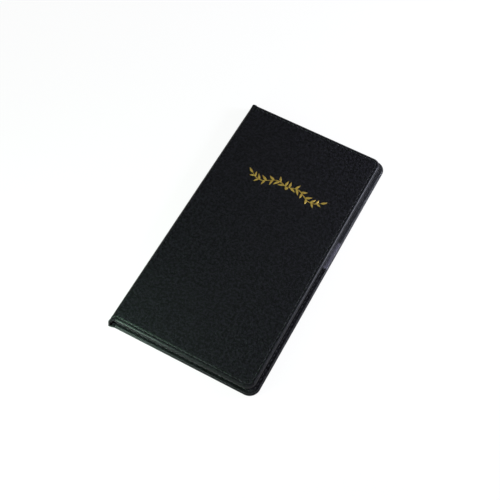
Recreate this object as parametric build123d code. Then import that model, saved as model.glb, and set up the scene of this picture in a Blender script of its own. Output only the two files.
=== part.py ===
from build123d import *
from math import asin, degrees, sqrt
import os

# Guest check presenter: a book-style folder in leatherette, lying closed on its back cover.
# Millimetres. +Z is up, +Y runs to the head, the spine is on the -X side and the fore edge on +X.
# The origin is the middle of the closed folder's footprint, on the surface that it lies on.
#
# One sheet of leatherette makes both covers' outsides and the spine. At each free edge it rolls
# round foam and board and is turned in by a hem. A lining covers the hems and runs down into the
# gutter between the boards. The sheet creases along two folds, so each cover's skin and lining end
# half way round a fold, and the spine's pieces go on from there.
# Each cover is built with its outside at z = 0 and its inside facing up. The front one is then
# turned over onto the back one.

# Closed folder
closed_width = 138.0          # back cover, from the spine's face to the fore edge
closed_length = 254.0         # back cover, head to tail
fore_overhang = 4.0           # how far the back cover shows past the front one at the fore edge
end_overhang = 2.6            # and at the head and the tail
back_corner_radius = 9.5
front_corner_radius = 8.0

# Layers of a cover, from the outside in
skin_thickness = 0.7          # grained leatherette
foam_thickness = 1.1
board_thickness = 1.4
lining_thickness = 0.4
seam_thickness = 0.5          # turned-under seam allowance, which holds a pocket open
panel_thickness = 0.5         # leatherette pocket
vinyl_thickness = 0.3         # clear strip
closing_gap = 1.0             # between the two covers' pockets when the folder is shut

# Edges and folds
outer_roll_radius = 2.5       # free edge, outside
inner_roll_radius = 0.8       # free edge, inside
edge_foam = 0.8               # foam pulled round the board's free edges
turn_in_width = 12.0          # hem of the skin, on the inside of the board
inner_margin = 0.8            # lining and pockets stop this far inside a free edge
spine_flat = 4.6              # flat part of the closed spine, between its folds
gutter_width = 1.5            # from a fold to the board's end
fold_gap = 0.3                # between two bodies' halves of a fold
pad_clearance = 0.2           # round the lining's raised middle, inside the hems

# Pockets, all open towards the head
back_pocket_mouth = 5.0       # height of the check pocket's mouth above the cover's middle
front_pocket_mouth = -18.0
card_window_height = 28.0
card_window_clearance = 0.3   # between the check pocket's mouth and the clear strip
pocket_seam_width = 5.0
card_seam_width = 3.0
seam_split = 0.3              # between a foot seam and the side seams

front_width = closed_width - fore_overhang
front_length = closed_length - 2 * end_overhang
cover_thickness = 2 * skin_thickness + foam_thickness + board_thickness
lined_thickness = cover_thickness + lining_thickness
pocket_level = lined_thickness + seam_thickness
closed_thickness = 2 * (pocket_level + panel_thickness) + closing_gap
fold_radius = (closed_thickness - spine_flat) / 2
fold_inset = fold_radius * (1 - 1 / sqrt(2))
fold_arc = 45.0 - degrees(asin(fold_gap / 2 / fold_radius))
board_end = fold_radius + gutter_width
inner_roll = min(inner_roll_radius, cover_thickness / 3)
outer_roll = min(outer_roll_radius, cover_thickness - 1.2 * inner_roll)


def cover_outline(width, length, corner_radius, start, margin):
    """Plan of a cover from x = start, drawn in by margin at its three free edges."""
    fore = width - margin
    half = length / 2 - margin
    plan = Pos((start + fore) / 2, 0) * Rectangle(fore - start, 2 * half)
    fore_corners = plan.vertices().group_by(Axis.X)[-1]
    return fillet(fore_corners, corner_radius - margin)


def slab(outline, low, high):
    """An outline as a plate from z = low to z = high."""
    return extrude(Pos(0, 0, low) * outline, amount=high - low)


def roll_edges(plate, start, level, radius):
    """Rounds a plate's free edges at one level, and leaves its spine side square."""
    tolerance = 0.01
    edges = [
        edge for edge in plate.edges()
        if abs(edge.center().Z - level) < tolerance and edge.center().X > start + tolerance
    ]
    return fillet(edges, radius)


def block(x_range, y_range, z_range):
    """A box between two values along each axis."""
    low = (x_range[0], y_range[0], z_range[0])
    size = [x_range[1] - x_range[0], y_range[1] - y_range[0], z_range[1] - z_range[0]]
    return Pos(*low) * Box(*size, align=(Align.MIN, Align.MIN, Align.MIN))


def hem_section(length):
    """The skin cut across: one layer, with both ends turned back on themselves."""
    half = length / 2
    hem_length = turn_in_width - skin_thickness
    sheet = Pos(skin_thickness / 2, 0) * Rectangle(skin_thickness, 2 * (half - skin_thickness))
    for side in (-1, 1):
        hem_middle = side * (half - skin_thickness - hem_length / 2)
        sheet += Pos(skin_thickness, hem_middle) * Rectangle(2 * skin_thickness, hem_length)
        sheet += Pos(skin_thickness, side * (half - skin_thickness)) * Circle(skin_thickness)
    return sheet


def lining_section(length):
    """The lining cut across where it lies on the skin, between the two hems."""
    width = length - 2 * (turn_in_width + pad_clearance)
    return Pos(skin_thickness + lining_thickness / 2, 0) * Rectangle(lining_thickness, width)


def cover_half_fold(section, gutter_end):
    """A section carried along a cover's gutter, and round its half of the fold."""
    at_fold = Plane(origin=(fold_radius, 0, 0), x_dir=(0, 0, 1), z_dir=(1, 0, 0)) * section
    gutter = extrude(at_fold, amount=gutter_end - fold_radius)
    fold_centre = Axis((fold_radius, 0, fold_radius), (0, 1, 0))
    return gutter + revolve(at_fold, axis=fold_centre, revolution_arc=fold_arc)


def spine_channel(section):
    """A section carried up the spine, with its half of both folds."""
    top = closed_thickness - fold_radius
    channel = extrude(Pos(0, 0, fold_radius) * section, amount=top - fold_radius)
    lower_centre = Axis((fold_radius, 0, fold_radius), (0, -1, 0))
    upper_centre = Axis((fold_radius, 0, top), (0, 1, 0))
    channel += revolve(Pos(0, 0, fold_radius) * section, axis=lower_centre, revolution_arc=fold_arc)
    channel += revolve(Pos(0, 0, top) * section, axis=upper_centre, revolution_arc=fold_arc)
    return channel


def cover_core(width, length, corner_radius):
    """The space inside a cover's skin, which the foam and the board fill."""
    outline = cover_outline(width, length, corner_radius, board_end, skin_thickness)
    core = slab(outline, skin_thickness, cover_thickness - skin_thickness)
    return roll_edges(core, board_end, skin_thickness, outer_roll - skin_thickness)


def cover_skin(width, length, corner_radius):
    """Leatherette rolled round three edges and turned in, with its gutter and half fold."""
    wall_start = board_end - skin_thickness
    outline = cover_outline(width, length, corner_radius, wall_start, 0)
    skin = slab(outline, 0, cover_thickness)
    skin = roll_edges(skin, wall_start, 0, outer_roll)
    skin = roll_edges(skin, wall_start, cover_thickness, inner_roll)
    skin -= cover_core(width, length, corner_radius)
    between_hems = (turn_in_width - length / 2, length / 2 - turn_in_width)
    hem_level = (cover_thickness - skin_thickness, cover_thickness)
    skin -= block((wall_start, width - turn_in_width), between_hems, hem_level)
    skin -= block((wall_start, board_end), between_hems, (skin_thickness, cover_thickness))
    return skin + cover_half_fold(hem_section(length), wall_start)


def cover_board(width, length, corner_radius):
    """The stiff board, square cut, a little smaller than the space inside the skin."""
    margin = skin_thickness + edge_foam
    outline = cover_outline(width, length, corner_radius, board_end, margin)
    return slab(outline, skin_thickness + foam_thickness, cover_thickness - skin_thickness)


def cover_foam(width, length, corner_radius):
    """Foam over the board's outside and round its free edges."""
    return cover_core(width, length, corner_radius) - cover_board(width, length, corner_radius)


def cover_lining(width, length, corner_radius):
    """Lining over the hems, filled out level between them, and turned down into the gutter."""
    gutter_start = board_end - lining_thickness
    outline = cover_outline(width, length, corner_radius, gutter_start, inner_margin)
    lining = slab(outline, cover_thickness, lined_thickness)
    half = length / 2 - turn_in_width - pad_clearance
    fore = width - turn_in_width - pad_clearance
    hem_level = cover_thickness - skin_thickness
    lining += block((board_end, fore), (-half, half), (hem_level, cover_thickness))
    lining += block((gutter_start, board_end), (-half, half), (skin_thickness, cover_thickness))
    return lining + cover_half_fold(lining_section(length), gutter_start)


def pocket_plan(width, length, corner_radius, foot, mouth):
    """Plan of a pocket between two heights on a cover's inside."""
    start = board_end + inner_margin
    outline = cover_outline(width, length, corner_radius, start, inner_margin)
    span = Rectangle(2 * width, mouth - foot)
    return outline & (Pos(0, (foot + mouth) / 2) * span)


def pocket_seams(plan, seam_width, foot, mouth):
    """Seam allowance along a pocket's foot and both sides, as three separate strips."""
    low, high = plan.bounding_box().min, plan.bounding_box().max
    levels = (lined_thickness, pocket_level)
    body = slab(plan, *levels)
    foot_strip = block((low.X, high.X), (foot, foot + seam_width), levels)
    side_range = (foot + seam_width + seam_split, mouth)
    inner_strip = block((low.X, low.X + seam_width), side_range, levels)
    outer_strip = block((high.X - seam_width, high.X), side_range, levels)
    return Compound([body & foot_strip, body & inner_strip, body & outer_strip])


def turned_over(piece):
    """A front cover's piece, turned over onto the back cover."""
    return Pos(0, 0, closed_thickness) * mirror(piece, about=Plane.XY)


back_size = (closed_width, closed_length, back_corner_radius)
front_size = (front_width, front_length, front_corner_radius)

# Back cover
pieces = {
    "back_skin": cover_skin(*back_size),
    "back_foam": cover_foam(*back_size),
    "back_board": cover_board(*back_size),
    "back_lining": cover_lining(*back_size),
}

# Check pocket, from the tail to a little above the cover's middle
back_foot = inner_margin - closed_length / 2
check_plan = pocket_plan(*back_size, back_foot, back_pocket_mouth)
pieces["back_pocket_panel"] = slab(check_plan, pocket_level, pocket_level + panel_thickness)
pieces["back_pocket_seams"] = pocket_seams(
    check_plan, pocket_seam_width, back_foot, back_pocket_mouth
)

# Clear strip for a bank card, just above the check pocket's mouth
card_foot = back_pocket_mouth + card_window_clearance
card_top = card_foot + card_window_height
card_plan = pocket_plan(*back_size, card_foot, card_top)
pieces["card_window"] = slab(card_plan, pocket_level, pocket_level + vinyl_thickness)
pieces["card_window_seams"] = pocket_seams(card_plan, card_seam_width, card_foot, card_top)

# Spine
pieces["spine_skin"] = spine_channel(hem_section(closed_length))
pieces["spine_lining"] = spine_channel(lining_section(closed_length))

# Front cover
front_foot = inner_margin - front_length / 2
receipt_plan = pocket_plan(*front_size, front_foot, front_pocket_mouth)
front_pieces = {
    "front_skin": cover_skin(*front_size),
    "front_foam": cover_foam(*front_size),
    "front_board": cover_board(*front_size),
    "front_lining": cover_lining(*front_size),
    "front_pocket_panel": slab(receipt_plan, pocket_level, pocket_level + panel_thickness),
    "front_pocket_seams": pocket_seams(
        receipt_plan, pocket_seam_width, front_foot, front_pocket_mouth
    ),
}
for name, piece in front_pieces.items():
    pieces[name] = turned_over(piece)

os.makedirs("parts", exist_ok=True)
for name, piece in pieces.items():
    placed = Pos(-closed_width / 2, 0, 0) * piece
    export_step(placed, "parts/" + name + ".step")

print("closed size", closed_width, closed_length, closed_thickness)
print("fold axes in from the spine's face and from each cover's outside", round(fold_inset, 4))
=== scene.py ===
import math
import bpy
import numpy as np
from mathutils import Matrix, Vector, noise
from mathutils.geometry import delaunay_2d_cdt


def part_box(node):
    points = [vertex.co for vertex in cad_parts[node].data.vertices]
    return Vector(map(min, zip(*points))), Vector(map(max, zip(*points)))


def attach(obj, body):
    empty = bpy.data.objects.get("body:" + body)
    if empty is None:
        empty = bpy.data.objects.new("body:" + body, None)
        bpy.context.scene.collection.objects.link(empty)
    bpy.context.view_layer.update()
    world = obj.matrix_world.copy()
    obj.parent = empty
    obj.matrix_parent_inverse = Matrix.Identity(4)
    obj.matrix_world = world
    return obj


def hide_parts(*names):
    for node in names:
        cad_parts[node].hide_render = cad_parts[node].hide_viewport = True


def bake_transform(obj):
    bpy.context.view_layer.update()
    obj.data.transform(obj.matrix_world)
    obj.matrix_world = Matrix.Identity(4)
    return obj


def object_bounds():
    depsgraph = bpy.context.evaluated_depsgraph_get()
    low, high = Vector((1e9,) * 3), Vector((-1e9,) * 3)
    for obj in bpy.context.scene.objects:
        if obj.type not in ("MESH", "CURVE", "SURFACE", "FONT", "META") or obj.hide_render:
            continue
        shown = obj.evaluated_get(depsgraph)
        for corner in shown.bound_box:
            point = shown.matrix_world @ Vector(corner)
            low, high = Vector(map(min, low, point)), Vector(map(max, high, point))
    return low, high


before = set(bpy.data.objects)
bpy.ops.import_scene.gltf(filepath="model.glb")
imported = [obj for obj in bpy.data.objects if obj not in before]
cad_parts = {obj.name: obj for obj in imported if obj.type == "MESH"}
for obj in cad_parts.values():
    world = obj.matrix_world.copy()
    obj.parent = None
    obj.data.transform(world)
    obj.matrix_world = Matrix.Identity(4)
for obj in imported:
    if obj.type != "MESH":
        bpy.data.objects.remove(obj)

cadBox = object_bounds()

# Guest check presenter. Lengths in this file are millimetres, and mesh points are metres.
# A cover is laid out flat: s runs from the spine to the fore edge, y to the head, and u inwards
# from the cover's outside. place() folds that layout round the spine and turns the front cover over.
cadLow, cadHigh = cadBox
thickness = 1000 * (cadHigh.z - cadLow.z)
spineFace = 1000 * cadLow.x
backHalf = 1000 * cadHigh.y
frontHalf = 1000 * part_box("front_skin")[1].y
backWidth = 1000 * (cadHigh.x - cadLow.x)
frontWidth = 1000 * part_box("front_skin")[1].x - spineFace

panelTop = 1000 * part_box("back_pocket_panel")[1].z
vinylTop = 1000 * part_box("card_window")[1].z
liningTop = 1000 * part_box("card_window_seams")[0].z
coverDepth = liningTop - 0.4            # inner face of the hem, under the lining

foldRadius = 3.5            # outside of the skin round each spine fold
boardEnd = 5.0              # s where a cover's board starts
hemDepth = 1.4              # two layers of skin, where there is no board
endHem = 2.3                # the folded corners make them thicker at the head and the tail
liningMargin = 0.8          # lining and pockets stop this far inside a free edge
turnIn = 12.0               # hem inside the cover
stitchInset = 3.5
stitchPitch = 4.6
spineMiddle = foldRadius * (1 - math.pi / 2) - (thickness / 2 - foldRadius)
headJoint = (backHalf + frontHalf) / 2      # the covers' two lengths meet here on the spine
tailJoint = backHalf + 0.4

# How the spine's two ends are pressed, over the last part of its length (shares of half of it)
pressed = {
    "zone": (0.93, 0.985),
    "nip": (1.3, 0.95),     # the back fold's corner, moved out and down
    "frontNip": 0.2,        # the front fold's share of that
    "ear": 0.5,             # bulge of the folded corners, outwards
    "earLength": 0.3,       # and along the spine
}

backCover = {"width": backWidth, "half": backHalf, "corner": 9.5, "turned": False, "body": "back"}
frontCover = {"width": frontWidth, "half": frontHalf, "corner": 8.0, "turned": True, "body": "front"}


def smooth(low, high, value):
    t = min(1.0, max(0.0, (value - low) / (high - low)))
    return t * t * (3 - 2 * t)


def place(cover, s, y, u):
    atEnd = smooth(*pressed["zone"], abs(y) / cover["half"])
    if s >= foldRadius:
        x, z = s, u
    else:
        turn = (foldRadius - s) / foldRadius
        if turn <= math.pi / 2:
            nip = math.sin(2 * turn) ** 2 * atEnd
            nip *= pressed["frontNip"] if cover["turned"] else 1.0
            x = foldRadius - (foldRadius - u) * math.sin(turn) - nip * pressed["nip"][0]
            z = foldRadius - (foldRadius - u) * math.cos(turn) - nip * pressed["nip"][1]
            z = max(0.5 * u + 0.03, z)      # never under the table
        else:
            x, z = u, foldRadius * (2 - math.pi / 2) - s
    if y < 0:
        joint, share = tailJoint, smooth(-0.4, boardEnd, s)
    elif cover["turned"]:
        joint, share = headJoint, min(1.0, (s - spineMiddle) / (frontWidth - spineMiddle))
    else:
        joint, share = headJoint, smooth(spineMiddle, -0.4, s)
    stretch = (joint + (cover["half"] - joint) * share) / cover["half"]
    z = thickness - z if cover["turned"] else z
    ear = atEnd * (1 - smooth(3.0, 9.5, z)) * (1 - smooth(0.5, boardEnd, x))
    x, stretch = x - pressed["ear"] * ear, stretch + pressed["earLength"] * ear / cover["half"]
    return Vector(((x + spineFace) / 1000, y * stretch / 1000, z / 1000))


def unit(v):
    return v / max(1e-9, math.hypot(v[0], v[1]))


def leftOf(v):
    return np.array((-v[1], v[0]))


def turned(v, angle):
    c, s = math.cos(angle), math.sin(angle)
    return np.array((c * v[0] - s * v[1], s * v[0] + c * v[1]))


# Points, inward normals and running length along (s, y, radius) corners, anticlockwise.
def roundedPath(corners, step, closed=True):
    spots, count = [np.array(c[:2], float) for c in corners], len(corners)
    arcs = []
    for i, here in enumerate(spots):
        back = unit(here - spots[i - 1])
        ahead = unit(spots[(i + 1) % count] - here)
        if not closed and i in (0, count - 1):
            arcs.append([(here, leftOf(ahead if i == 0 else back))])
            continue
        turn = math.atan2(back[0] * ahead[1] - back[1] * ahead[0], back @ ahead)
        radius, side = corners[i][2], math.copysign(1, turn)
        centre = here - back * radius * math.tan(abs(turn) / 2) + leftOf(back) * radius * side
        steps = max(4, math.ceil(radius * abs(turn) / step))
        normals = [turned(leftOf(back), turn * k / steps) for k in range(steps + 1)]
        arcs.append([(centre - n * radius * side, n) for n in normals])
    points = []
    for i, arc in enumerate(arcs):
        points += arc
        if i < count - 1 or closed:
            start, end = arc[-1][0], arcs[(i + 1) % count][0][0]
            parts = max(1, round(math.dist(start, end) / step))
            normal = leftOf(unit(end - start))
            points += [(start + (end - start) * k / parts, normal) for k in range(1, parts)]
    spots = np.array([p for p, n in points])
    normals = np.array([n for p, n in points])
    run = np.concatenate([[0], np.cumsum(np.linalg.norm(np.diff(spots, axis=0), axis=1))])
    return {"spots": spots, "normals": normals, "run": run, "closed": closed}


def alongPath(path, length):
    i = min(len(path["run"]) - 2, max(0, int(np.searchsorted(path["run"], length)) - 1))
    gap = path["run"][i + 1] - path["run"][i]
    t = min(1.0, max(0.0, (length - path["run"][i]) / gap))
    spot = path["spots"][i] * (1 - t) + path["spots"][i + 1] * t
    return spot, unit(path["normals"][i] * (1 - t) + path["normals"][i + 1] * t)


# Signed distance inside the path, and the running length of the nearest point on it.
def nearest(path, spots):
    spots = np.asarray(spots, float).reshape(-1, 2)
    distance, index = np.full(len(spots), 1e9), np.zeros(len(spots), int)
    for first in range(0, len(spots), 2000):
        part = spots[first:first + 2000]
        gaps = np.linalg.norm(part[:, None] - path["spots"][None], axis=2)
        index[first:first + 2000] = gaps.argmin(1)
        distance[first:first + 2000] = gaps.min(1)
    inward = ((spots - path["spots"][index]) * path["normals"][index]).sum(1)
    return distance * np.sign(inward), path["run"][index]


# An object from points, faces and one UV mark (millimetres) a point. up is +1 or -1 along Z.
def newPiece(name, points, faces, marks, up):
    mesh = bpy.data.meshes.new(name)
    mesh.from_pydata(points, [], faces)
    if up and sum(p.normal.z * p.area for p in mesh.polygons) * up < 0:
        mesh.flip_normals()
    layer = mesh.uv_layers.new(name="layout")
    index = np.zeros(len(mesh.loops), int)
    mesh.loops.foreach_get("vertex_index", index)
    layer.data.foreach_set("uv", (np.array(marks, float)[index] / 1000).ravel())
    mesh.shade_smooth()
    piece = bpy.data.objects.new(name, mesh)
    bpy.context.scene.collection.objects.link(piece)
    return piece


# A sheet with a rolled rim. rimAt gives (inset, height) from the face, round the rim, to below.
# relief is the face's height at a point, and put places a point (s, y, height). The face has rows
# of points at the rings' distances from the rim, and a plain grid inside them. border is the
# straight side without a rim.
def sheetPiece(name, path, rimAt, relief, put, up, rings, columns=(), border=None):
    points, faces, marks = [], [], []
    spots, normals = path["spots"], path["normals"]
    count, pitch = len(spots), 4.6
    rims = [rimAt(spot, normal) for spot, normal in zip(spots, normals)]
    for spot, normal, rim in zip(spots, normals, rims):
        spread = 0.0
        for k, (inset, height) in enumerate(rim):
            if k:
                spread += math.dist(rim[k], rim[k - 1])
            at = spot + normal * inset
            points.append(put(at[0], at[1], height))
            marks.append(tuple(spot + normal * (rim[0][0] - spread)))
    depth = len(rims[0])
    for i in range(count if path["closed"] else count - 1):
        here, after = i * depth, (i + 1) % count * depth
        for k in range(depth - 1):
            faces.append((here + k, here + k + 1, after + k + 1, after + k))

    flat = [spots[i] + normals[i] * rims[i][0][0] for i in range(count)]
    if border is not None:
        low, high = flat[-1], flat[0]
        parts = max(2, round(math.dist(low, high) / pitch))
        flat += [low + (high - low) * k / parts for k in range(1, parts)]
    edges = [(i, (i + 1) % len(flat)) for i in range(len(flat))]

    def inside(candidates, least):
        keep = nearest(path, candidates)[0] >= least
        if border is not None:
            keep &= candidates[:, 0] > border + 0.2
        return list(candidates[keep])

    for distance, every in rings:
        flat += inside(spots[::every] + normals[::every] * distance, distance - 0.04)
    low, high = spots.min(0), spots.max(0)
    first = max(columns) + pitch if len(columns) else low[0] + pitch / 2
    across = [s for s in columns if low[0] < s < high[0]] + list(np.arange(first, high[0], pitch))
    rows = np.linspace(low[1], high[1], max(3, round((high[1] - low[1]) / pitch)) + 1)[1:-1]
    flat += inside(np.array([(s, y) for s in across for y in rows]), rings[-1][0] + 0.35)
    corners, _, triangles, origins, _, _ = delaunay_2d_cdt(
        [Vector(p) for p in flat], edges, [], 1, 1e-5
    )
    depths, runs = nearest(path, [tuple(c) for c in corners])
    known = {}
    for i, corner in enumerate(corners):
        rimPoint = [o for o in origins[i] if o < count]
        if rimPoint:
            known[i] = rimPoint[0] * depth
            continue
        known[i] = len(points)
        points.append(put(corner[0], corner[1], relief(corner[0], corner[1], depths[i], runs[i])))
        marks.append(tuple(corner))
    faces += [tuple(known[i] for i in t) for t in triangles]
    return newPiece(name, points, faces, marks, up)


# A node with its settings and inputs. An input is a value, or the socket that feeds it.
def addNode(tree, kind, settings=None, inputs=None):
    node = tree.nodes.new(kind)
    for key, value in (settings or {}).items():
        setattr(node, key, value)
    for key, value in (inputs or {}).items():
        if isinstance(value, bpy.types.NodeSocket):
            tree.links.new(value, node.inputs[key])
        else:
            node.inputs[key].default_value = value
    return node


def newGroup(name, inputs, outputs):
    tree = bpy.data.node_groups.new(name, "ShaderNodeTree")
    for label, kind, value in inputs:
        made = tree.interface.new_socket(name=label, in_out="INPUT", socket_type=kind)
        if value is not None:
            made.default_value = value
    for label, kind in outputs:
        tree.interface.new_socket(name=label, in_out="OUTPUT", socket_type=kind)
    return tree, tree.nodes.new("NodeGroupInput").outputs, tree.nodes.new("NodeGroupOutput").inputs


def mathNode(tree, operation, a, b=0.0):
    return addNode(tree, "ShaderNodeMath", {"operation": operation}, {0: a, 1: b}).outputs[0]


def rangeNode(tree, value, fromLow, fromHigh, toLow=0.0, toHigh=1.0):
    settings = {"interpolation_type": "SMOOTHSTEP"}
    inputs = {0: value, 1: fromLow, 2: fromHigh, 3: toLow, 4: toHigh}
    return addNode(tree, "ShaderNodeMapRange", settings, inputs).outputs[0]


def mappingNode(tree, vector, **inputs):
    return addNode(tree, "ShaderNodeMapping", None, {"Vector": vector, **inputs}).outputs[0]


# Fine ribs, such as a weave or a thread's strands
def waveNode(tree, vector, scale, distortion):
    inputs = {"Vector": vector, "Scale": scale, "Distortion": distortion, "Detail": 1.0}
    return addNode(tree, "ShaderNodeTexWave", {"wave_profile": "SIN"}, inputs).outputs["Fac"]


def noiseNode(tree, vector, scale, detail=3.0, rough=0.55):
    inputs = {"Vector": vector, "Scale": scale, "Detail": detail, "Roughness": rough}
    return addNode(tree, "ShaderNodeTexNoise", None, inputs).outputs


def colourMix(tree, factor, first, second):
    node = addNode(tree, "ShaderNodeMix", {"data_type": "RGBA"}, {0: factor})
    for key, value in ((6, first), (7, second)):
        if isinstance(value, bpy.types.NodeSocket):
            tree.links.new(value, node.inputs[key])
        else:
            node.inputs[key].default_value = (*value, 1.0)
    return node.outputs[2]


# Embossed leather grain: pebbles parted by creases, with fine pores
grainTree, grainIn, grainOut = newGroup(
    "leatherGrain",
    [("Vector", "NodeSocketVector", None), ("Size", "NodeSocketFloat", 0.0011)],
    [("Height", "NodeSocketFloat"), ("Crease", "NodeSocketFloat"), ("Mottle", "NodeSocketFloat")],
)
grainScale = mathNode(grainTree, "DIVIDE", 1.0, grainIn["Size"])
warp = noiseNode(grainTree, grainIn["Vector"], mathNode(grainTree, "MULTIPLY", grainScale, 0.8), 2.0)
warpBy = addNode(grainTree, "ShaderNodeVectorMath", {"operation": "SCALE"}, {0: warp["Color"], 3: 0.0007})
warped = addNode(
    grainTree, "ShaderNodeVectorMath", {"operation": "ADD"}, {0: grainIn["Vector"], 1: warpBy.outputs[0]}
).outputs[0]
cells = addNode(
    grainTree, "ShaderNodeTexVoronoi", {"feature": "DISTANCE_TO_EDGE"},
    {"Vector": warped, "Scale": grainScale, "Randomness": 0.95},
)
# The crease mask shapes the grain's bump and also darkens the colour there: painted shade in the creases.
creaseAndShade = rangeNode(grainTree, cells.outputs["Distance"], 0.0, 0.16)
pebble = addNode(
    grainTree, "ShaderNodeTexVoronoi", {"feature": "SMOOTH_F1"},
    {"Vector": warped, "Scale": grainScale, "Smoothness": 0.6, "Randomness": 0.95},
)
dome = mathNode(grainTree, "SUBTRACT", 1.0, pebble.outputs["Distance"])
pores = noiseNode(grainTree, grainIn["Vector"], mathNode(grainTree, "MULTIPLY", grainScale, 4.0), 3.0)
creaseHeight = mathNode(grainTree, "MULTIPLY", creaseAndShade, 0.55)
domeHeight = mathNode(grainTree, "MULTIPLY", dome, 0.35)
poreHeight = mathNode(grainTree, "MULTIPLY", pores["Fac"], 0.22)
grainHeight = mathNode(grainTree, "ADD", mathNode(grainTree, "ADD", creaseHeight, domeHeight), poreHeight)
mottle = noiseNode(grainTree, grainIn["Vector"], 460.0, 3.0, 0.65)
grainTree.links.new(grainHeight, grainOut["Height"])
grainTree.links.new(creaseAndShade, grainOut["Crease"])
grainTree.links.new(rangeNode(grainTree, mottle["Fac"], 0.46, 0.55), grainOut["Mottle"])

# Light rubbing and finger marks: soft blotches broken by fine streaks
smudgeTree, smudgeIn, smudgeOut = newGroup(
    "smudges", [("Vector", "NodeSocketVector", None)], [("Mask", "NodeSocketFloat")]
)
blotch = noiseNode(smudgeTree, smudgeIn["Vector"], 42.0, 4.0, 0.6)["Fac"]
drawnOut = mappingNode(smudgeTree, smudgeIn["Vector"], Scale=(900.0, 90.0, 90.0))
streak = noiseNode(smudgeTree, drawnOut, 1.0, 3.0)["Fac"]
smudge = mathNode(
    smudgeTree, "MULTIPLY",
    rangeNode(smudgeTree, blotch, 0.42, 0.68), rangeNode(smudgeTree, streak, 0.3, 0.75, 0.4, 1.0),
)
smudgeTree.links.new(smudge, smudgeOut["Mask"])


def newMaterial(name):
    material = bpy.data.materials.new(name)
    material.use_nodes = True
    tree = material.node_tree
    return material, tree, tree.nodes["Principled BSDF"]


def grouped(tree, group, vector, **values):
    node = tree.nodes.new("ShaderNodeGroup")
    node.node_tree = group
    tree.links.new(vector, node.inputs["Vector"])
    for key, value in values.items():
        node.inputs[key].default_value = value
    return node.outputs


def layoutVector(tree):
    return addNode(tree, "ShaderNodeTexCoord").outputs["UV"]


def bumpNode(tree, shader, height, distance, strength=1.0):
    inputs = {"Height": height, "Distance": distance, "Strength": strength}
    tree.links.new(addNode(tree, "ShaderNodeBump", None, inputs).outputs[0], shader.inputs["Normal"])


# Base colour, a roughness that the marks change, and the gloss of a plain surface
def finish(tree, shader, colour, marks, rough, gloss=0.5):
    tree.links.new(colour, shader.inputs["Base Color"])
    tree.links.new(rangeNode(tree, marks, 0, 1, *rough), shader.inputs["Roughness"])
    shader.inputs["Specular IOR Level"].default_value = gloss


def leatherMaterial(name, look):
    material, tree, shader = newMaterial(name)
    layout = layoutVector(tree)
    grain = grouped(tree, grainTree, layout, Size=look["grain"])
    rubbed = grouped(tree, smudgeTree, layout)["Mask"]
    # The creases get the darker crease colour: painted shade.
    base = colourMix(tree, grain["Mottle"], look["dark"], look["light"])
    creaseShaded = colourMix(tree, grain["Crease"], look["creaseAndShade"], base)
    tree.links.new(creaseShaded, shader.inputs["Base Color"])
    matt = rangeNode(tree, grain["Height"], 0.35, 0.95, look["rough"] + 0.12, look["rough"])
    worn = mathNode(tree, "SUBTRACT", matt, mathNode(tree, "MULTIPLY", rubbed, 0.07))
    tree.links.new(worn, shader.inputs["Roughness"])
    shader.inputs["Specular IOR Level"].default_value = look["gloss"]
    bumpNode(tree, shader, grain["Height"], look["relief"])
    shader.inputs["Coat Weight"].default_value = look["coat"]
    shader.inputs["Coat Roughness"].default_value = look["coatRough"]
    return material


print("shader groups", grainTree.name, smudgeTree.name)


# Outer skins
skin = {
    "look": {
        "grain": 0.0015, "relief": 0.0004, "rough": 0.5, "gloss": 0.1, "coat": 0.2, "coatRough": 0.33,
        "dark": (0.0006, 0.0005, 0.0009), "light": (0.0095, 0.0086, 0.0125),
        # colour of the painted shade in the grain's creases
        "creaseAndShade": (0.001, 0.0009, 0.0013),
    },
    "roll": 2.4, "innerRoll": 0.8,      # radius of the edge outside, and where the hem starts
    "step": stitchPitch / 8,            # between points along the edge
    "groove": 0.2, "tailGroove": 0.5, "underGroove": 0.48,      # depth under the stitches
    "grooveWidth": 0.52,
    "pit": 0.26, "pitLength": 0.55, "pitWidth": 0.6,            # at each needle hole
    "rise": 0.08,                       # the leather's fullness beside the groove
    "waver": 0.05,                      # slack of the glued skin
    "rings": [(2.7, 1), (3.0, 1), (3.25, 1), (3.5, 1), (3.75, 1), (4.1, 1), (4.7, 1), (5.6, 2), (7.4, 4)],
}


def coverPath(cover):
    w, h, r = cover["width"], cover["half"], cover["corner"]
    corners = [(spineMiddle, -h, 0), (w, -h, r), (w, h, r), (spineMiddle, h, 0)]
    path = roundedPath(corners, skin["step"], closed=False)
    total = path["run"][-1]
    path["pitch"] = total / round(total / stitchPitch)      # a whole number of stitches
    return path


# 0 on the flat of the spine, and 1 from the fold on.
def foldShare(s):
    return smooth(-1.2, 1.8, s)


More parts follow.
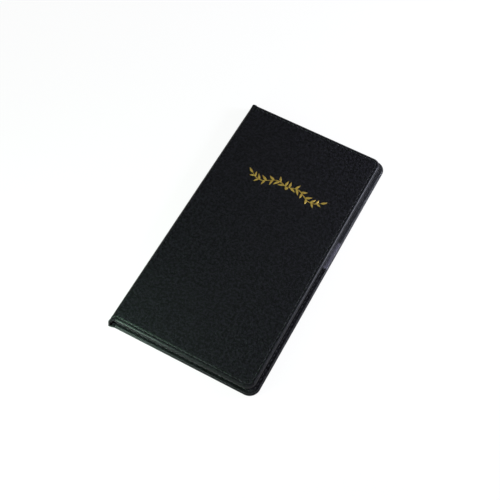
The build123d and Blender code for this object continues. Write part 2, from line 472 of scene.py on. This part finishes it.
# The edge from the face, round the roll, to the hem's cut end. It is full at the board, and
# only two layers of skin at the spine.
def skinRim(cover):
    roll, inner = skin["roll"], skin["innerRoll"]
    turns = [math.radians(a) for a in (0, 14, 28, 42, 56, 73, 90)]
    ends = [math.radians(a) for a in (0, 30, 60, 90)]
    straight = coverDepth - inner
    thick = [(roll - roll * math.sin(a), roll - roll * math.cos(a)) for a in turns]
    thick += [(inner - inner * math.cos(a), straight + inner * math.sin(a)) for a in ends]
    thick += [(2.0, coverDepth), (3.6, coverDepth), (5.0, coverDepth)]
    thick += [(5.3, coverDepth - 0.2), (5.2, coverDepth - 0.6)]

    def hem(depth):
        small = depth / 2
        rim = [(roll, 0)] + [(small - small * math.sin(a), small - small * math.cos(a)) for a in turns[1:]]
        rim += [(small - small * math.cos(a), small + small * math.sin(a) + 0.01) for a in ends]
        rim += [(3.4, depth - 0.05), (8.0, hemDepth + 0.05), (turnIn - 0.1, hemDepth)]
        return rim + [(turnIn + 0.1, 1.2), (turnIn + 0.1, 0.6)]

    slim, full = hem(hemDepth), hem(endHem)

    def rimAt(spot, normal):
        t = smooth(boardEnd - 1.1, boardEnd + 0.3, spot[0])
        waver = skin["waver"] * noise.noise(Vector((spot[0] / 9, spot[1] / 9, cover["half"])))
        fold = foldShare(spot[0])
        rim = []
        for k, (a, b, c) in enumerate(zip(slim, full, thick)):
            held = 0.0 if k == 0 else 1.0
            inward, deep = (a[i] + (b[i] - a[i]) * fold for i in (0, 1))
            rim.append((inward + (c[0] - inward) * t + held * abs(waver), deep + (c[1] - deep) * t))
        return rim
    return rimAt


# The groove is pulled deeper at the front cover's tail.
def grooveAt(cover, y):
    if not cover["turned"]:
        return skin["underGroove"]
    tail = smooth(0.93, 0.97, -y / cover["half"])
    return skin["groove"] * (1 - tail) + skin["tailGroove"] * tail


# Depth of a cover's face: a groove and needle holes along the stitches, and a slight waver
def stitchedFace(cover, path):
    def relief(s, y, depth, run):
        line = math.exp(-((depth - stitchInset) / skin["grooveWidth"]) ** 2)
        phase = abs((run / path["pitch"] + 0.5) % 1 - 0.5) * path["pitch"]
        hole = math.exp(-(phase / skin["pitLength"]) ** 2)
        hole *= math.exp(-((depth - stitchInset) / skin["pitWidth"]) ** 2)
        shoulder = smooth(2.6, 3.7, depth) * math.exp(-max(0.0, depth - stitchInset) / 5)
        wave = 0.5 + 0.5 * noise.noise(Vector((s / 24, y / 24, cover["half"] / 7)))
        drop = grooveAt(cover, y) * line + skin["pit"] * hole + skin["rise"] * shoulder
        return drop + skin["waver"] * wave * smooth(2.5, 7, depth)
    return relief


def coverSkin(name, cover, path):
    return sheetPiece(
        name, path, skinRim(cover), stitchedFace(cover, path),
        lambda s, y, u: place(cover, s, y, u), 1 if cover["turned"] else -1,
        skin["rings"], columns=np.arange(spineMiddle + 0.5, 6.2, 0.5), border=spineMiddle,
    )


leather = leatherMaterial("leatherette", skin["look"])
backPath, frontPath = coverPath(backCover), coverPath(frontCover)
backSkin = coverSkin("backSkin", backCover, backPath)
frontSkin = coverSkin("frontSkin", frontCover, frontPath)
for piece in (backSkin, frontSkin):
    piece.data.materials.append(leather)
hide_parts("back_skin", "spine_skin")
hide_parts("front_skin")


# Start and end of a fold's turn, level with the fold, from the cover towards the spine.
def bendLine(cover):
    start = place(cover, boardEnd - 0.8, 0, 0)
    return (start.x, 0, start.z), ((spineFace + hemDepth) / 1000, 0, start.z)


backStart, backEnd = bendLine(backCover)
frontStart, frontEnd = bendLine(frontCover)


def bendBack(piece):
    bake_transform(piece)
    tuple(backStart)
    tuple(backEnd)


def bendFront(piece):
    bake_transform(piece)
    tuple(frontEnd)
    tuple(frontStart)


bendBack(backSkin)
bendFront(frontSkin)
print("skins", len(backSkin.data.polygons), len(frontSkin.data.polygons))


# Linings
lining = {
    "depth": 0.4,
    "bend": 1.0, "hollow": 0.9,         # radius over the board's end, and down in the gutter
    "floor": 1.1,                       # height in the gutter
    "flatEnd": 5.2,                     # where it gets narrower for the spine
    "between": 0.2,                     # gap to the hems there
    "seam": 0.2, "seamWidth": 0.55,     # pulled down along the stitches
    "rings": [(1.2, 1), (1.9, 1), (2.4, 1), (2.9, 1), (3.8, 2)],
    "dark": (0.0085, 0.0088, 0.0105), "light": (0.014, 0.0145, 0.017),
    "weave": 520.0, "rough": (0.5, 0.38), "gloss": 0.45, "relief": 0.00006,
}


# (s, u) of the lining's face at q, measured round the board's end, and the way its face looks.
def liningSection(q):
    bend, hollow, floor = lining["bend"], lining["hollow"], lining["floor"]
    centre = boardEnd - lining["depth"] + bend
    if q >= centre:
        return q, liningTop, 0.0, 1.0
    t = centre - q
    quarter = bend * math.pi / 2
    drop = liningTop - bend - (floor + hollow)
    if t <= quarter:
        a = t / bend
        return centre - bend * math.sin(a), liningTop - bend + bend * math.cos(a), -math.sin(a), math.cos(a)
    t -= quarter
    if t <= drop:
        return centre - bend, liningTop - bend - t, -1.0, 0.0
    t -= drop
    if t <= hollow * math.pi / 2:
        a = t / hollow
        s = centre - bend - hollow + hollow * math.cos(a)
        return s, floor + hollow - hollow * math.sin(a), -math.cos(a), math.sin(a)
    t -= hollow * math.pi / 2
    return centre - bend - hollow - t, floor, 0.0, 1.0


def coverLining(name, cover):
    w, h, r = cover["width"] - liningMargin, cover["half"] - liningMargin, cover["corner"] - liningMargin
    between = cover["half"] - turnIn - lining["between"]
    bend, hollow = lining["bend"], lining["hollow"]
    around = (bend + hollow) * math.pi / 2 + liningTop - bend - lining["floor"] - hollow
    border = spineMiddle + bend + hollow - around
    e = lining["flatEnd"]
    corners = [
        (border, -between, 0), (e, -between, 0.8), (e, -h, 0.5), (w, -h, r),
        (w, h, r), (e, h, 0.5), (e, between, 0.8), (border, between, 0),
    ]
    path = roundedPath(corners, 1.15, closed=False)
    rim = [(0.5, 0.0), (0.3, -0.04), (0.12, -0.13), (0.02, -0.27), (0.0, -0.42)]

    def rimAt(spot, normal):
        return rim

    def relief(s, y, depth, run):
        line = math.exp(-((depth - stitchInset + liningMargin) / lining["seamWidth"]) ** 2)
        return -lining["seam"] * smooth(8, 11, s) * line

    def put(q, y, height):
        s, u, ns, nu = liningSection(q)
        return place(cover, s + ns * height, y, u + nu * height)

    columns = np.arange(border + 0.45, 7.4, 0.45)
    up = -1 if cover["turned"] else 1
    return sheetPiece(name, path, rimAt, relief, put, up, lining["rings"], columns, border)


liningMaterial, tree, shader = newMaterial("lining")
layout = layoutVector(tree)
weave = [
    waveNode(tree, mappingNode(tree, layout, Rotation=(0, 0, turnBy)), lining["weave"], 0.8)
    for turnBy in (0.0, math.pi / 2)
]
ribs = mathNode(tree, "MAXIMUM", weave[0], weave[1])
liningGrain = grouped(tree, grainTree, layout, Size=0.0021)
liningMarks = grouped(tree, smudgeTree, layout)["Mask"]
liningHeight = mathNode(tree, "ADD", mathNode(tree, "MULTIPLY", ribs, 0.7), liningGrain["Mottle"])
liningColour = colourMix(tree, liningGrain["Mottle"], lining["dark"], lining["light"])
finish(tree, shader, liningColour, liningMarks, lining["rough"], lining["gloss"])
bumpNode(tree, shader, liningHeight, lining["relief"])

backLining = coverLining("backLining", backCover)
frontLining = coverLining("frontLining", frontCover)
for piece, cover, under in ((backLining, backCover, "backSkin"), (frontLining, frontCover, "frontSkin")):
    piece.data.materials.append(liningMaterial)
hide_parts("back_lining", "spine_lining")
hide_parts("front_lining")
bendBack(backLining)
bendFront(frontLining)
print("linings", len(backLining.data.polygons), len(frontLining.data.polygons))


# Pockets
pocket = {
    "inner": boardEnd + 0.8,            # s of the seam beside the spine
    "fold": 1.0, "edge": 0.5,           # thickness at the seams and at the mouth
    "hem": 8.0, "allowance": 5.0,
    "groove": 0.16, "slack": 0.12,
    "rings": [(0.9, 1), (1.5, 1), (2.0, 1), (2.4, 1), (2.8, 1), (3.6, 2), (5.4, 3)],
}
checkFoot, checkMouth = liningMargin - backHalf, 5.0
receiptFoot, receiptMouth = liningMargin - frontHalf, -18.0
stripFoot, stripTop = 5.3, 33.3
seamInset = 2.4


def pocketPath(cover, foot, mouth):
    w, r = cover["width"] - liningMargin, cover["corner"] - liningMargin
    below = r if foot < 0 else 0.7
    inner = pocket["inner"]
    corners = [(inner, mouth, 0.7), (inner, foot, 0.7), (w, foot, below), (w, mouth, 0.7)]
    return roundedPath(corners, 1.15)


# A pocket's front panel: turned under by fold at its seams, and edge thick at its mouth.
def pocketPanel(name, cover, foot, mouth, top, fold, edge, groove):
    path = pocketPath(cover, foot, mouth)

    def rimAt(spot, normal):
        t = smooth(0.2, 0.95, -normal[1]) * smooth(mouth - 3, mouth - 1, spot[1])
        radius = (fold * (1 - t) + edge * t) / 2
        turns = [math.pi * k / 8 for k in range(9)]
        rim = [(radius * (1 - math.sin(a)), radius * (math.cos(a) - 1)) for a in turns]
        rim[0] = (0.55, 0.0)
        under = pocket["allowance"] * (1 - t) + pocket["hem"] * t
        return rim + [(1.0, -2 * radius), (min(under, 2.2), -2 * radius)]

    def relief(s, y, depth, run):
        fromMouth = mouth - y
        seam = 1 - math.exp(-max(0.0, depth - 0.5) / 0.5)
        line = math.exp(-((depth - seamInset) / 0.55) ** 2) * smooth(1.0, 3.0, fromMouth)
        hemLine = math.exp(-((fromMouth - pocket["hem"]) / 0.5) ** 2) * smooth(3, 5, depth)
        middle = smooth(4, 22, depth)
        wave = 0.5 + 0.5 * noise.noise(Vector((s / 38, y / 38, top)))
        return -groove * line * seam - 0.5 * groove * hemLine + pocket["slack"] * middle * wave

    return sheetPiece(
        name, path, rimAt, relief, lambda s, y, h: place(cover, s, y, top + h),
        -1 if cover["turned"] else 1, pocket["rings"],
    )


def leatherPocket(name, cover, foot, mouth):
    return pocketPanel(
        name, cover, foot, mouth, panelTop, pocket["fold"], pocket["edge"], pocket["groove"]
    )


checkPocket = leatherPocket("checkPocket", backCover, checkFoot, checkMouth)
receiptPocket = leatherPocket("receiptPocket", frontCover, receiptFoot, receiptMouth)
for piece, cover, high, under in (
    (checkPocket, backCover, checkMouth - checkFoot, "backLining"),
    (receiptPocket, frontCover, receiptMouth - receiptFoot, "frontLining"),
):
    piece.data.materials.append(leather)
    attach(piece, cover["body"])
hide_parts("back_pocket_panel", "back_pocket_seams")
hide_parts("front_pocket_panel", "front_pocket_seams")
print("pockets", len(checkPocket.data.polygons), len(receiptPocket.data.polygons))


# Clear card strip
vinyl = {
    "fold": 0.8, "edge": 0.3, "groove": 0.1,
    "tint": (0.22, 0.21, 0.27), "bloom": (0.33, 0.32, 0.39), "cover": (0.17, 0.31),
    "rough": (0.14, 0.3), "gloss": 0.45, "relief": 0.0004,
}
cardStrip = pocketPanel(
    "cardStrip", backCover, stripFoot, stripTop, vinylTop, vinyl["fold"], vinyl["edge"], vinyl["groove"]
)
vinylMaterial, tree, shader = newMaterial("clearVinyl")
layout = layoutVector(tree)
haze = grouped(tree, smudgeTree, layout)["Mask"]
ripple = noiseNode(tree, layout, 120.0, 2.0)["Fac"]
vinylColour = colourMix(tree, haze, vinyl["tint"], vinyl["bloom"])
finish(tree, shader, vinylColour, haze, vinyl["rough"], vinyl["gloss"])
tree.links.new(rangeNode(tree, haze, 0, 1, *vinyl["cover"]), shader.inputs["Alpha"])
bumpNode(tree, shader, ripple, vinyl["relief"], 0.5)
cardStrip.data.materials.append(vinylMaterial)
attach(cardStrip, "back")
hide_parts("card_window", "card_window_seams")
print("card strip", len(cardStrip.data.polygons))


# Thread
thread = {
    "half": 0.32, "rise": 0.22, "slant": 0.24,
    "gap": 0.5, "rowGap": 0.75,         # between stitches, along an edge and in a pocket's row
    "sink": 0.22,                       # how far the ends go into the leather
    # dark is painted shade between the thread's strands; light is the strands' own tone
    "light": (0.017, 0.017, 0.019), "dark": (0.005, 0.005, 0.006),
    "strands": 620.0, "twist": 0.9, "rough": (0.42, 0.32), "gloss": 0.35, "relief": 0.00008,
}
seam = {
    "tail": 5, "end": 0.6,              # a row along the spine starts and stops short of the pocket
    "start": 3.2, "stop": 5.6,          # and so does one across it
    "mouth": 2.2, "foot": 2.4,
    "deep": 0.14, "stripDeep": 0.1,     # under the pocket's face
}


# One stitch: a thread arched over the leather from hole to hole. side is +1 towards larger u.
def stitchPoints(cover, spot, along, length, level, side):
    points, faces, marks = [], [], []
    across = leftOf(along)
    ringCount, around = 9, 8
    for i in range(ringCount):
        t = -1 + 2 * i / (ringCount - 1)
        half = thread["half"] * (1 - 0.45 * abs(t) ** 5)
        arch = thread["rise"] * (1 - abs(t) ** 2.6) - thread["sink"] * abs(t) ** 4
        for k in range(around):
            a = 2 * math.pi * k / around
            at = spot + along * (t * length / 2) + across * (half * math.cos(a) - t * thread["slant"])
            u = level + side * (arch + 0.8 * half * math.sin(a))
            points.append(place(cover, at[0], at[1], u))
            marks.append((t * length / 2, a * thread["half"]))
    for i in range(ringCount - 1):
        for k in range(around):
            j = (k + 1) % around
            faces.append((i * around + k, i * around + j, (i + 1) * around + j, (i + 1) * around + k))
    faces.append(tuple(range(around))[::-1])
    faces.append(tuple(range((ringCount - 1) * around, ringCount * around)))
    return points, faces, marks


def stitchPiece(name, cover, stitches):
    points, faces, marks = [], [], []
    for spot, along, length, level, side in stitches:
        p, f, m = stitchPoints(cover, spot, along, length, level, side)
        outward = -1 if (side > 0) != cover["turned"] else 1
        faces += [tuple(len(points) + i for i in face[::outward]) for face in f]
        points += p
        marks += m
    return newPiece(name, points, faces, marks, 0)


# Depth of the surface that the edge stitches show on, inside a cover.
def innerLevel(cover, s, y):
    if s < boardEnd + 0.3:
        t = smooth(boardEnd - 1.1, boardEnd + 0.3, s)
        hem = hemDepth + (endHem - hemDepth) * foldShare(s)
        return hem - 0.05 + (coverDepth - hem) * t
    if cover is backCover:
        if y < checkMouth:
            return panelTop - pocket["groove"]
        if stripFoot < y < stripTop:
            return vinylTop - vinyl["groove"]
        return liningTop - lining["seam"]
    return panelTop - pocket["groove"] if y < receiptMouth else liningTop - lining["seam"]


def edgeStitches(cover, path):
    pitch, total = path["pitch"], path["run"][-1]
    stitches = []
    for i in range(round(total / pitch)):
        spot, normal = alongPath(path, (i + 0.5) * pitch)
        at, along = spot + normal * stitchInset, -leftOf(normal)
        ends = [alongPath(path, (i + e) * pitch) for e in (0.06, 0.94)]
        span = math.dist(*[end + inward * stitchInset for end, inward in ends])
        length = max(1.2, span - thread["gap"])
        stitches.append((at, along, length, grooveAt(cover, at[1]) + skin["rise"] - 0.02, -1))
        stitches.append((at, along, length, innerLevel(cover, at[0], at[1]), 1))
    return stitches


def rowStitches(start, end, level):
    start, end = np.array(start, float), np.array(end, float)
    total = math.dist(start, end)
    count = max(1, round(total / stitchPitch))
    along, length = (end - start) / total, total / count - thread["rowGap"]
    return [(start + along * total * (i + 0.5) / count, along, length, level, 1) for i in range(count)]


# A row beside the spine from low to high, and one across the pocket at the height of acrossAt
def pocketRows(cover, low, high, acrossAt, level, acrossLevel):
    inner = pocket["inner"] + seamInset
    rows = rowStitches((inner, low), (inner, high), level)
    start, stop = inner + seam["start"], cover["width"] - seam["stop"]
    return rows + rowStitches((start, acrossAt), (stop, acrossAt), acrossLevel)


threadMaterial, tree, shader = newMaterial("thread")
layout = layoutVector(tree)
strands = waveNode(
    tree, mappingNode(tree, layout, Rotation=(0, 0, thread["twist"])), thread["strands"], 0.6
)
threadMarks = grouped(tree, smudgeTree, layout)["Mask"]
# The thread is darker between its strands, where the bump dips: painted shade.
strandShadedThread = colourMix(tree, strands, thread["dark"], thread["light"])
finish(tree, shader, strandShadedThread, threadMarks, thread["rough"], thread["gloss"])
bumpNode(tree, shader, strands, thread["relief"])

backThread = stitchPiece("backEdgeThread", backCover, edgeStitches(backCover, backPath))
frontThread = stitchPiece("frontEdgeThread", frontCover, edgeStitches(frontCover, frontPath))
bendBack(backThread)
bendFront(frontThread)

backRows = pocketRows(
    backCover, checkFoot + seam["tail"], checkMouth - seam["end"],
    checkMouth - seam["mouth"], panelTop - seam["deep"], panelTop,
)
backRows += pocketRows(
    backCover, stripFoot + seam["end"], stripTop - seam["end"],
    stripFoot + seam["foot"], vinylTop - seam["stripDeep"], vinylTop - seam["stripDeep"],
)
frontRows = pocketRows(
    frontCover, receiptFoot + seam["tail"], receiptMouth - seam["end"],
    receiptMouth - seam["mouth"], panelTop - seam["deep"], panelTop,
)
backPocketThread = stitchPiece("backPocketThread", backCover, backRows)
frontPocketThread = stitchPiece("frontPocketThread", frontCover, frontRows)
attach(backPocketThread, "back")
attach(frontPocketThread, "front")
for piece in (backThread, frontThread, backPocketThread, frontPocketThread):
    piece.data.materials.append(threadMaterial)
print("threads", len(backThread.data.polygons), len(frontThread.data.polygons))


# Foil ornament
foil = {
    "s": 70.6, "y": 57.2,               # middle of the spray on the front cover
    "lift": 0.05,
    "nib": math.radians(40), "thin": 0.5, "thick": 0.95,
    "tall": 1.3, "leaf": 1.0,           # height of the stem's waves, and width of the leaves
    "diamond": (1.6, 2.1),              # half its width and height
    # deep is a random darker tone of the gold, and also its painted shade in the grain's creases
    "gold": (0.56, 0.385, 0.08), "deep": (0.40, 0.255, 0.045),
    "grain": 0.0012, "rough": (0.42, 0.56), "metal": 0.55, "relief": 0.00006,
}
# Half of a leaf spray: a waving stem, and leaves that grow out of it (share of the stem's length,
# angle, length). The other half is its mirror image.
stem = [(0.0, 0.4), (5.0, 2.2), (11.0, 2.6), (17.0, 0.2), (23.0, -2.2), (29.0, -2.0), (34.5, 0.6)]
sprays = [
    (0.07, 66, 6.4), (0.10, -48, 6.2), (0.23, 52, 6.0), (0.27, -58, 6.6), (0.40, 50, 6.4), (0.44, -52, 5.8),
    (0.57, 60, 6.8), (0.60, -46, 5.4), (0.73, 56, 6.2), (0.76, -52, 5.2), (0.88, 48, 5.2), (0.90, -50, 4.8),
    (1.0, 4, 6.2),
]


def curveThrough(spots, parts=14):
    spots = [np.array(p, float) for p in spots]
    spots = [2 * spots[0] - spots[1]] + spots + [2 * spots[-1] - spots[-2]]
    line = []
    for a, b, c, d in zip(spots, spots[1:], spots[2:], spots[3:]):
        for k in range(parts):
            t = k / parts
            squared, cubed = (2 * a - 5 * b + 4 * c - d) * t ** 2, (3 * b - a - 3 * c + d) * t ** 3
            line.append(0.5 * (2 * b + (c - a) * t + squared + cubed))
    return line + [spots[-2]]


# Five points across a stroke: its edges are let down into the leather, and its middle is flat
# as far as top, a share of half.
def acrossRow(at, half, lift, top):
    return [(at + half * w, lift * h) for w, h in ((-1, -0.6), (-top, 0.9), (0, 1.1), (top, 0.9), (1, -0.6))]


# A stroke as wide as a slanted nib would draw it
def penStroke(line, order):
    count, rows = len(line), []
    for i, at in enumerate(line):
        along = unit(line[min(i + 1, count - 1)] - line[max(i - 1, 0)])
        t = i / (count - 1)
        nib = abs(math.sin(math.atan2(along[1], along[0]) - foil["nib"]))
        half = (foil["thin"] + (foil["thick"] - foil["thin"]) * nib ** 1.4) / 2
        half *= 0.3 + 0.7 * smooth(0, 0.25, t) * smooth(0, 0.2, 1 - t)
        rows.append(acrossRow(at, leftOf(along) * half, foil["lift"] + 0.004 * order, 0.82))
    return rows


# A pointed leaf from its root, slightly bowed
def leafShape(root, angle, length, order):
    rows, count = [], 14
    along = np.array((math.cos(angle), math.sin(angle)))
    side = leftOf(along)
    for k in range(count + 1):
        t = k / count
        half = 0.06 + foil["leaf"] * math.sin(math.pi * t ** 0.8) ** 1.1 * length / 6
        bow = side * math.copysign(0.5, math.sin(angle)) * math.sin(math.pi * t) * -0.5
        at = root + along * t * length + bow
        rows.append(acrossRow(at, side * half, foil["lift"] + 0.003 * order, 0.85))
    return rows


def diamondShape():
    rows, count = [], 16
    wide, high = foil["diamond"]
    for k in range(count + 1):
        t = -1 + 2 * k / count
        half = high * (1 - abs(t)) ** 0.8 + 0.02
        rows.append(acrossRow(np.array((t * wide, 0)), np.array((0, half)), foil["lift"] + 0.08, 0.85))
    return rows


def ornament():
    line = [np.array((x, y * foil["tall"])) for x, y in curveThrough(stem)]
    strokes = [penStroke(line, 0), penStroke([p * (-1, 1) for p in line], 1)]
    for order, (share, turnBy, length) in enumerate(sprays):
        index = min(len(line) - 2, int(share * (len(line) - 1)))
        root, ahead = line[index], line[index + 1] - line[index]
        if share == 1.0:
            root = line[-1] - unit(ahead) * 0.6     # the last leaf grows out of the stem's tip
        angle = math.atan2(ahead[1], ahead[0]) + math.radians(turnBy)
        leaf = leafShape(root, angle, length, order + 2)
        strokes += [leaf, [[(at * (-1, 1), lift) for at, lift in row] for row in leaf]]
    return strokes + [diamondShape()]


# The strokes, laid on the front cover's own face
def foilPiece(name, strokes):
    points, faces, marks = [], [], []
    face = stitchedFace(frontCover, frontPath)
    for rows in strokes:
        first = len(points)
        for row in rows:
            for at, lift in row:
                s, y = foil["s"] + at[0], foil["y"] + at[1]
                points.append(place(frontCover, s, y, face(s, y, 60.0, 0.0) - lift))
                marks.append((s, y))
        for i in range(len(rows) - 1):
            for k in range(4):
                a = first + i * 5 + k
                faces.append((a, a + 1, a + 6, a + 5))
    piece = newPiece(name, points, faces, marks, 0)
    for polygon in piece.data.polygons:
        if polygon.normal.z < 0:
            polygon.flip()
    return piece


coverFoil = foilPiece("coverFoil", ornament())
foilMaterial, tree, shader = newMaterial("goldFoil")
layout = layoutVector(tree)
foilGrain = grouped(tree, grainTree, layout, Size=foil["grain"])
foilMarks = grouped(tree, smudgeTree, layout)["Mask"]
# The foil gets the darker deep colour in its grain creases: painted shade.
creaseShadedGold = colourMix(tree, foilGrain["Crease"], foil["deep"], foil["gold"])
foilColour = colourMix(tree, foilGrain["Mottle"], foil["deep"], creaseShadedGold)
finish(tree, shader, foilColour, foilMarks, foil["rough"])
shader.inputs["Metallic"].default_value = foil["metal"]
bumpNode(tree, shader, foilGrain["Height"], foil["relief"])
coverFoil.data.materials.append(foilMaterial)
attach(coverFoil, "front")
print("foil", len(coverFoil.data.polygons))


# Board and foam inside the covers. They keep their CAD shapes.
board = {"grey": (0.035, 0.034, 0.033), "fibre": (0.055, 0.053, 0.05), "rough": 0.9, "relief": 0.0001}
boardMaterial, tree, shader = newMaterial("greyboard")
inside = addNode(tree, "ShaderNodeTexCoord").outputs["Object"]
pulp = noiseNode(tree, mappingNode(tree, inside, Scale=(400.0, 2600.0, 3000.0)), 1.0, 5.0)["Fac"]
tree.links.new(colourMix(tree, pulp, board["grey"], board["fibre"]), shader.inputs["Base Color"])
shader.inputs["Roughness"].default_value = board["rough"]
bumpNode(tree, shader, pulp, board["relief"])

foam = {"skin": (0.045, 0.045, 0.047), "cellShade": (0.02, 0.02, 0.021), "rough": 0.95, "relief": 0.0002}
foamMaterial, tree, shader = newMaterial("foam")
inside = addNode(tree, "ShaderNodeTexCoord").outputs["Object"]
bubbles = addNode(tree, "ShaderNodeTexVoronoi", {"feature": "F1"}, {"Vector": inside, "Scale": 2200.0})
# Each foam cell is darker in the middle, where its bump is a pit: painted shade.
cellDepth = rangeNode(tree, bubbles.outputs["Distance"], 0.1, 0.6)
tree.links.new(colourMix(tree, cellDepth, foam["cellShade"], foam["skin"]), shader.inputs["Base Color"])
shader.inputs["Roughness"].default_value = foam["rough"]
bumpNode(tree, shader, cellDepth, foam["relief"])
for node, material in (
    ("back_board", boardMaterial), ("front_board", boardMaterial),
    ("back_foam", foamMaterial), ("front_foam", foamMaterial),
):
    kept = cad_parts[node]
    kept.data.materials.clear()
    kept.data.materials.append(material)
print("board and foam ready")


# Floor
floorHalf, floorDrop = 3, 0.00005       # metres; the drop keeps it clear of the cover's underside
floorGlow = 0.9                         # share of plain white where it is seen or reflected
floorCorners = [(floorHalf * a, floorHalf * b, 0) for a, b in ((-1, -1), (1, -1), (1, 1), (-1, 1))]
floorMesh = bpy.data.meshes.new("floor")
floorMesh.from_pydata(floorCorners, [], [(0, 1, 2, 3)])
floor = bpy.data.objects.new("floor", floorMesh)
floor.location.z = -floorDrop
bpy.context.scene.collection.objects.link(floor)
floorMaterial, tree, shader = newMaterial("paleFloor")
shader.inputs["Base Color"].default_value = (0.8, 0.8, 0.8, 1)
shader.inputs["Roughness"].default_value = 0.9
shader.inputs["Specular IOR Level"].default_value = 0.1


def eitherRay(tree, first, second):
    return mathNode(tree, "MAXIMUM", first, second)


rays = addNode(tree, "ShaderNodeLightPath").outputs
mirrored = eitherRay(tree, rays["Is Glossy Ray"], rays["Is Transmission Ray"])
seen = mathNode(tree, "MULTIPLY", eitherRay(tree, rays["Is Camera Ray"], mirrored), floorGlow)
white = addNode(tree, "ShaderNodeEmission", None, {"Color": (1, 1, 1, 1), "Strength": 1.0})
floorMix = addNode(tree, "ShaderNodeMixShader", None, {0: seen})
tree.links.new(shader.outputs[0], floorMix.inputs[1])
tree.links.new(white.outputs[0], floorMix.inputs[2])
tree.links.new(floorMix.outputs[0], tree.nodes["Material Output"].inputs["Surface"])
floorMesh.materials.append(floorMaterial)

# Studio: white at the horizon wherever it is seen or reflected, dark overhead in reflections, and
# an even, weak light on the object
studio = {"soft": 0.6, "ceiling": 0.03, "horizon": (0.04, 0.34)}
world = bpy.data.worlds.new("studio")
world.use_nodes = True
bpy.context.scene.world = world
tree = world.node_tree
rays = addNode(tree, "ShaderNodeLightPath").outputs
background = tree.nodes["Background"]
background.inputs["Color"].default_value = (1, 1, 1, 1)
toward = addNode(tree, "ShaderNodeTexCoord").outputs["Generated"]
height = addNode(tree, "ShaderNodeSeparateXYZ", None, {0: toward}).outputs["Z"]
mirrored = eitherRay(tree, rays["Is Glossy Ray"], rays["Is Transmission Ray"])
overhead = rangeNode(tree, height, *studio["horizon"], 1.0, studio["ceiling"])
shown = eitherRay(tree, rays["Is Camera Ray"], mathNode(tree, "MULTIPLY", mirrored, overhead))
lighting = mathNode(tree, "SUBTRACT", 1.0, eitherRay(tree, mirrored, rays["Is Camera Ray"]))
even = mathNode(tree, "MULTIPLY", lighting, studio["soft"])
tree.links.new(mathNode(tree, "ADD", shown, even), background.inputs["Strength"])


# An area lamp that isn't seen itself. Metres and watts.
def softbox(name, spot, aim, size, power, colour):
    lamp = bpy.data.lights.new(name, "AREA")
    lamp.shape, lamp.size, lamp.size_y = "RECTANGLE", size[0], size[1]
    lamp.energy, lamp.color = power, colour
    held = bpy.data.objects.new(name, lamp)
    held.location = spot
    held.rotation_euler = (Vector(aim) - Vector(spot)).to_track_quat("-Z", "Y").to_euler()
    held.visible_camera = False
    bpy.context.scene.collection.objects.link(held)


tailSpine, middle = (-0.069, -0.127, 0.01), (0.0, 0.0, 0.01)
softbox("frontOverhead", (0.25, -0.9, 1.0), middle, (0.9, 0.9), 1.85, (1.0, 0.97, 1.0))
softbox("rightKey", (0.50, 0.33, 0.27), (0.066, 0.09, 0.01), (0.20, 0.13), 5.9, (0.80, 0.84, 1.0))
softbox("tailKey", (-0.108, -0.26, 0.09), tailSpine, (0.07, 0.05), 0.65, (0.76, 1.0, 0.86))
softbox("tailSheen", (-0.14, -0.21, 0.16), tailSpine, (0.12, 0.12), 0.44, (0.45, 1.0, 0.56))
print("lights ready")

camera = bpy.data.objects.new("camera", bpy.data.cameras.new("camera"))
camera.location = (0.1918, -0.3606, 0.7469)
camera.rotation_euler = Vector((-0.22604, 0.41658, -0.88055)).to_track_quat("-Z", "Y").to_euler()
camera.data.sensor_width, camera.data.lens = 36.0, 69.92
bpy.context.scene.collection.objects.link(camera)
bpy.context.scene.camera = camera
bpy.context.scene.view_settings.view_transform = "Standard"

print("camera ready")
